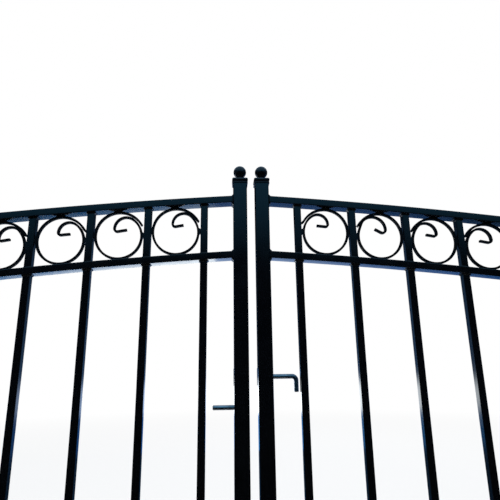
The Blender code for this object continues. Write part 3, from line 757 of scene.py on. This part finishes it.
def makePintle(node, side):
    look = hingeLook
    low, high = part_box(node)
    thick, wide, tall = look["plate"]
    level, axis = high.z - look["pinHeight"], side * look["axis"]
    face = high.x if side > 0 else low.x
    middle = level - look["lug"] / 2
    plate = block((face, -wide / 2, middle - tall / 2), (face - side * thick, wide / 2, middle + tall / 2), 0.0012)
    lug = block((axis, -look["eye"], level - look["lug"]), (face - side * thick / 2, look["eye"], level), 0.0004)
    nose = moved(barrel(look["eye"], look["lug"]), slide(axis, 0, level - look["lug"]))
    bm = combine([plate, lug, nose])
    pin = look["pin"]
    tip = look["pinHeight"]
    outline = [(0, -0.004), (pin, -0.004), (pin, tip - 0.0022), (pin - 0.0006, tip - 0.0008), (pin - 0.0020, tip),
               (0, tip)]
    shaft = turned(outline, 36)
    addCopy(bm, shaft, slide(axis, 0, level))
    shaft.free()
    standFor(bm, node, "hinge_black")
    bead = plateBead(wide, tall, look["bead"], face, middle, -side)
    finishPiece(bead, camel(node) + "Weld", "posts", weldPaint, "hinge_black")


def makeGudgeon(node, hand, side):
    look = hingeLook
    low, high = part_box(node)
    thick, wide, tall = look["plate"]
    axis, middle = side * look["axis"], (low.z + high.z) / 2
    face = low.x if side > 0 else high.x
    half = look["eyeHeight"] / 2
    plate = block((face, -wide / 2, middle - tall / 2), (face + side * thick, wide / 2, middle + tall / 2), 0.0012)
    web = block((axis, -look["web"] / 2, middle - half), (face + side * thick / 2, look["web"] / 2, middle + half),
                0.0004)
    eye = moved(barrel(look["eye"], 2 * half), slide(axis, 0, middle - half))
    bore = moved(barrel(look["bore"], 4 * half), slide(axis, 0, middle - 2 * half))
    standFor(combine([plate, web, eye], [bore]), node, "hinge_black")
    bead = plateBead(wide, tall, look["bead"], face, middle, side)
    finishPiece(bead, camel(node) + "Weld", f"{hand}_leaf", weldPaint, "hinge_black")


for hand, side in sides.items():
    for level in ("lower", "upper"):
        makePintle(f"{hand}_{level}_pintle", side)
        makeGudgeon(f"{hand}_{level}_gudgeon", hand, side)
print("hinges hung")


# Drop rod, its guides and the floor keeper

rodLook = {"radius": 0.008, "length": 0.600, "bend": 0.020, "handle": 0.095, "collar": 0.013,
           "collarHeight": 0.012, "bore": 0.0084, "eye": 0.0134, "web": 0.016}
rodX = middleOf("left_meeting_stile").x
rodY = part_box("drop_rod")[1].y - rodLook["collar"]


def makeDropRod():
    look = rodLook
    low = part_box("drop_rod")[0]
    bm = roundBar(look["radius"], look["length"] - look["bend"], look["bend"], look["handle"] - look["bend"])
    moved(bm, Matrix.Rotation(pi, 4, "Z"), slide(rodX, rodY, low.z))
    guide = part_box("rod_upper_guide")[0].z
    collar = sleeve(look["radius"] - 0.001, look["collar"], guide - 0.0003 - look["collarHeight"], guide - 0.0003,
                    0.0012)
    addCopy(bm, collar, slide(rodX, rodY, 0))
    collar.free()
    standFor(bm, "drop_rod", "bar_zinc", rodZinc)


def makeGuide(node):
    look = rodLook
    low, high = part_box(node)
    half = look["web"] / 2
    eye = moved(barrel(look["eye"], high.z - low.z), slide(rodX, rodY, low.z))
    web = block((rodX - half, low.y, low.z), (rodX + half, rodY, high.z), 0.0003)
    bore = moved(barrel(look["bore"], 0.1), slide(rodX, rodY, low.z - 0.03))
    bm = combine([eye, web], [bore], 0.0010)
    bead = beadAround(high.z - low.z, look["web"], 0.001, 0.0036, 0.0036)
    turn = Matrix.Rotation(pi / 2, 4, "Z") @ Matrix.Rotation(pi / 2, 4, "Y")
    addCopy(bm, bead, slide(rodX, low.y, (low.z + high.z) / 2) @ turn)
    bead.free()
    standFor(bm, node, "fitting_black")


keeperLook = {"plate": 0.006, "corner": 0.006, "stop": (0.120, 0.006, 0.096), "stopGap": 0.0006,
              "socket": (0.0105, 0.0155, 0.034), "hole": 0.0045, "holeSpacing": 0.144,
              "bead": ((-0.001, 0), (0.0045, 0), (0.0036, 0.0012), (0.0012, 0.0034), (0, 0.0045), (-0.001, 0.0045))}


def makeFloorKeeper():
    look = keeperLook
    low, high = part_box("floor_keeper")
    plate = roundedFace(high.x - low.x, high.y - low.y, look["corner"], 4)
    grow(plate, plate.faces[:], (0, 0, look["plate"]))
    moved(plate, slide(0, (low.y + high.y) / 2, 0))
    wide, thick, tall = look["stop"]
    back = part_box("left_meeting_stile")[0].y - look["stopGap"]
    stop = moved(roundedFace(wide, tall, 0.010, 5), slide(0, tall / 2, 0))
    grow(stop, stop.faces[:], (0, 0, thick))
    moved(stop, Matrix.Rotation(pi / 2, 4, "X"), slide(0, back, 0))
    bore, outer, rise = look["socket"]
    socket = moved(barrel(outer, rise + look["plate"] / 2), slide(rodX, rodY, look["plate"] / 2))
    well = moved(barrel(bore, rise + 0.02), slide(rodX, rodY, look["plate"]))
    holes = [moved(barrel(look["hole"], 0.03, 28), slide(i * look["holeSpacing"] / 2, 0, -0.01)) for i in (-1, 1)]
    bm = combine([plate, stop, socket], [well, *holes], 0.0010)
    bead = turned([(outer + past, height) for past, height in look["bead"]], closed=True)
    addCopy(bm, bead, slide(rodX, rodY, look["plate"]))
    bead.free()
    standFor(bm, "floor_keeper", "fitting_black")


makeDropRod()
makeGuide("rod_lower_guide")
makeGuide("rod_upper_guide")
makeFloorKeeper()
print("drop rod in")


# Slide bolt, its housing and its keeper

boltLook = {"radius": 0.008, "length": 0.135, "bend": 0.014, "handle": 0.050, "plate": 0.005, "loop": 0.014,
            "housingBore": 0.0084, "keeperBore": 0.010, "loopWall": 0.005, "inset": 0.002,
            "keeperInset": 0.009, "tuck": 0.0001}
boltZ = middleOf("bolt_housing").z
boltY = middleOf("slide_bolt").y


def makeFitting(node, loops, bore):
    look = boltLook
    low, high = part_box(node)
    outer, reach = bore + look["loopWall"], high.x - low.x
    plate = roundedFace(reach, high.z - low.z, 0.004, 4)
    grow(plate, plate.faces[:], (0, 0, look["plate"]))
    turn = Matrix.Rotation(pi / 2, 4, "X")
    moved(plate, turn, slide((low.x + high.x) / 2, low.y + look["plate"], boltZ))
    solids = [plate]
    for x in loops:
        start = x - look["loop"] / 2
        solids.append(moved(barrel(outer, look["loop"]), Matrix.Rotation(pi / 2, 4, "Y"), slide(start, boltY, boltZ)))
        tuck = look["tuck"]  # keeps the neck's faces off the loop's
        solids.append(block((start + tuck, low.y + look["plate"] / 2, boltZ - outer + tuck),
                            (start + look["loop"] - tuck, boltY, boltZ + outer - tuck), 0.0003))
    way = moved(barrel(bore, 0.2), Matrix.Rotation(pi / 2, 4, "Y"), slide(low.x - 0.05, boltY, boltZ))
    bm = combine(solids, [way], 0.0008)
    bead = beadAround(high.z - low.z, reach, 0.0035, 0.0030, 0.0030)
    flat = Matrix.Rotation(pi / 2, 4, "Z") @ Matrix.Rotation(pi / 2, 4, "Y")
    addCopy(bm, bead, slide((low.x + high.x) / 2, low.y, boltZ) @ flat)
    bead.free()
    standFor(bm, node, "fitting_black")


def makeSlideBolt():
    look = boltLook
    bm = roundBar(look["radius"], look["length"] - look["bend"], look["bend"], look["handle"] - look["bend"])
    moved(bm, Matrix.Rotation(pi / 2, 4, "Y"), slide(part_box("slide_bolt")[0].x, boltY, boltZ))
    standFor(bm, "slide_bolt", "bar_zinc", boltZinc)


low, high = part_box("bolt_housing")
inset = boltLook["inset"] + boltLook["loop"] / 2
makeFitting("bolt_housing", (low.x + inset, high.x - inset), boltLook["housingBore"])
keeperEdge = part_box("left_meeting_stile")[1].x
makeFitting("bolt_keeper", (keeperEdge - boltLook["keeperInset"] - boltLook["loop"] / 2,), boltLook["keeperBore"])
makeSlideBolt()
print("bolt fitted")


# Floor, light and camera

cameraLook = {"place": (-0.0914, -1.5339, 0.8414), "turn": 3.092, "tilt": 14.197, "roll": -0.758,
              "lens": 31.56, "shift": (0.0015, 0.0072)}

camera = bpy.data.objects.new("camera", bpy.data.cameras.new("camera"))
bpy.context.scene.collection.objects.link(camera)
camera.data.lens = cameraLook["lens"]
camera.data.shift_x, camera.data.shift_y = cameraLook["shift"]
camera.matrix_world = (Matrix.Translation(cameraLook["place"])
                       @ Matrix.Rotation(-radians(cameraLook["turn"]), 4, "Z")
                       @ Matrix.Rotation(radians(90 + cameraLook["tilt"]), 4, "X")
                       @ Matrix.Rotation(radians(cameraLook["roll"]), 4, "Z"))
bpy.context.scene.camera = camera
bpy.context.scene.view_settings.view_transform = "Standard"


def seenAsIs(finish):  # 1 where the eye or a reflection looks, 0 where light is gathered
    seen, gloss, glass = (finish.node("ShaderNodeLightPath", {}, {}, out=f"Is {kind} Ray")
                         for kind in ("Camera", "Glossy", "Transmission"))
    return finish.node("ShaderNodeMath", {"operation": "ADD", "use_clamp": True}, {0: seen + gloss, 1: glass})


def stagePiece(name, wide, tall, finish, *where):
    bm = bmesh.new()
    bmesh.ops.create_grid(bm, x_segments=1, y_segments=1, size=0.5)
    moved(bm, Matrix.Diagonal((wide, tall, 1, 1)), *where)
    mesh = bpy.data.meshes.new(name)
    bm.to_mesh(mesh)
    bm.free()
    mesh.materials.append(finish.material)
    piece = bpy.data.objects.new(name, mesh)
    bpy.context.scene.collection.objects.link(piece)
    return piece


floorLook = {"size": 80.0, "colour": (0.90, 0.905, 0.91, 1), "glow": 0.74, "near": 2.6, "far": 7.5}

finish = Finish("floor", Roughness=0.9, Specular_IOR_Level=0.1, Base_Color=floorLook["colour"])
where = finish.node("ShaderNodeTexCoord", {}, {}, out="Object")
away = finish.node("ShaderNodeVectorMath", {"operation": "LENGTH"}, {0: where}, out="Value")
spread = floorLook["far"] - floorLook["near"]
far = finish.ramp((away - floorLook["near"]) * (1 / spread), [(0, 0), (1, 1)])
glow = finish.node("ShaderNodeEmission", {}, {"Color": (1, 1, 1, 1), "Strength": 1.0})
share = seenAsIs(finish) * (far * (1 - floorLook["glow"]) + floorLook["glow"])
mixed = finish.node("ShaderNodeMixShader", {}, {0: share, 1: Wire(finish, finish.shader.outputs[0]), 2: glow})
finish.tree.links.new(mixed.socket, finish.tree.nodes["Material Output"].inputs[0])
stagePiece("floor", floorLook["size"], floorLook["size"], finish)

skyLook = {"seen": (1, 1, 1, 1), "fill": (0.46, 0.49, 0.52, 1)}

sky = Sky("sky")
sky.feed(sky.shader, {"Color": sky.blend(seenAsIs(sky), skyLook["fill"], skyLook["seen"])})

cardLook = {  # glowing cards that only the gloss sees, which paint the reflections on the coat: a blue sky, bright bands and black flags; width, height, foot, turn, then colours at rising heights
    "front": (24.0, 9.0, (0, -6.0, 0), 0,
              ((2.70, (0.0, 0.003, 0.010)), (3.55, (0.06, 0.26, 0.46)), (4.3, (0.08, 0.40, 0.70)))),
    # the bright band low on each back card is a painted reflection that shows on the rails' undersides
    "backLeft": (6.0, 5.0, (-3.12, 3.2, 0), 0, ((0.33, (0.08, 0.40, 1.00)), (0.39, (3.7, 4.0, 4.2)),
                                                (0.58, (3.7, 4.0, 4.2)), (0.72, (0.10, 0.24, 0.50)),
                                                (2.0, (0.08, 0.18, 0.36)), (2.6, (0, 0.006, 0.015)))),
    "backRight": (6.0, 5.0, (2.88, 3.2, 0), 0, ((0.33, (0.04, 0.20, 0.66)), (0.40, (0.85, 1.2, 1.9)),
                                                (0.58, (0.95, 1.3, 2.0)), (0.72, (0.08, 0.20, 0.44)),
                                                (2.0, (0.07, 0.16, 0.32)), (2.6, (0, 0.006, 0.015)))),
    # a black flag, painting a dark reflection on the sides that face the middle
    "backMiddle": (0.70, 4.2, (-0.15, 3.15, 0.8), 0, ((0.0, (0, 0, 0)), (5.0, (0, 0, 0)))),
    "left": (14.0, 7.0, (-7.0, 0, 0), 90, ((0.0, (0.01, 0.02, 0.04)), (7.0, (0.06, 0.12, 0.22)))),
    "right": (14.0, 7.0, (7.0, 0, 0), 90, ((0.0, (0.01, 0.02, 0.04)), (7.0, (0.06, 0.12, 0.22)))),
}
flatLook = {  # the same lying flat, painting a sky-blue reflection from above and dark reflections of the ground: nearest and farthest Y, height, colour
    "frontGround": (-6.0, -0.12, 0.004, (0, 0, 0)), "backGround": (0.12, 3.2, 0.004, (0.02, 0.06, 0.13)),
    "ceiling": (-6.0, 6.0, 6.5, (0.30, 0.54, 0.80)),
}


def glossCard(name, wide, tall, finish, *where):
    card = stagePiece(name, wide, tall, finish, *where)
    card.visible_camera = card.visible_diffuse = card.visible_shadow = False
    card.visible_transmission = False


def glowing(name, colour=(0, 0, 0, 1)):
    return Finish(name, Roughness=1.0, Specular_IOR_Level=0.0, Base_Color=(0, 0, 0, 1), Emission_Strength=1.0,
                  Emission_Color=colour)


# each card's painted reflection colour, blended up its height
for name, (wide, tall, foot, turn, shades) in cardLook.items():
    finish = glowing(name + "Card")
    where = finish.node("ShaderNodeTexCoord", {}, {}, out="Object")
    height = finish.node("ShaderNodeSeparateXYZ", {}, {0: where}, out="Z")
    colour = (*shades[0][1], 1)
    for (low, _), (high, shade) in zip(shades, shades[1:]):
        rise = finish.ramp((height - low) * (1 / (high - low)), [(0, 0), (1, 1)])
        colour = finish.blend(rise, colour, (*shade, 1))
    finish.feed(finish.shader, {"Emission Color": colour})
    glossCard(name + "Card", wide, tall, finish, Matrix.Rotation(pi / 2, 4, "X"), slide(0, 0, tall / 2),
              Matrix.Rotation(radians(turn), 4, "Z"), slide(*foot))

for name, (near, far, height, shade) in flatLook.items():
    glossCard(name, 24.0, far - near, glowing(name, (*shade, 1)), slide(0, (near + far) / 2, height))

lampLook = {  # place, aim, width and depth, watts, colour, seen in gloss
    "overheadLamp": ((0.0, -0.7, 4.4), (0, 0, 0.8), (5.0, 2.6), 80, (0.86, 0.93, 1.0), False),
    "frontLamp": ((-1.8, -4.4, 4.2), (0, 0, 0.7), (4.0, 2.4), 95, (1.0, 0.985, 0.96), False),
    "backLamp": ((1.6, 4.2, 3.4), (0, 0, 0.7), (4.0, 2.4), 60, (0.95, 0.97, 1.0), False),
}

for name, (place, aim, across, watts, colour, gloss) in lampLook.items():
    data = bpy.data.lights.new(name, "AREA")
    data.shape, (data.size, data.size_y) = "RECTANGLE", across
    data.energy, data.color = watts, colour
    lamp = bpy.data.objects.new(name, data)
    bpy.context.scene.collection.objects.link(lamp)
    aimed = (Vector(aim) - Vector(place)).to_track_quat("-Z", "Y").to_matrix().to_4x4()
    lamp.matrix_world = Matrix.Translation(place) @ aimed
    lamp.visible_camera, lamp.visible_glossy = False, gloss
print("stage lit")
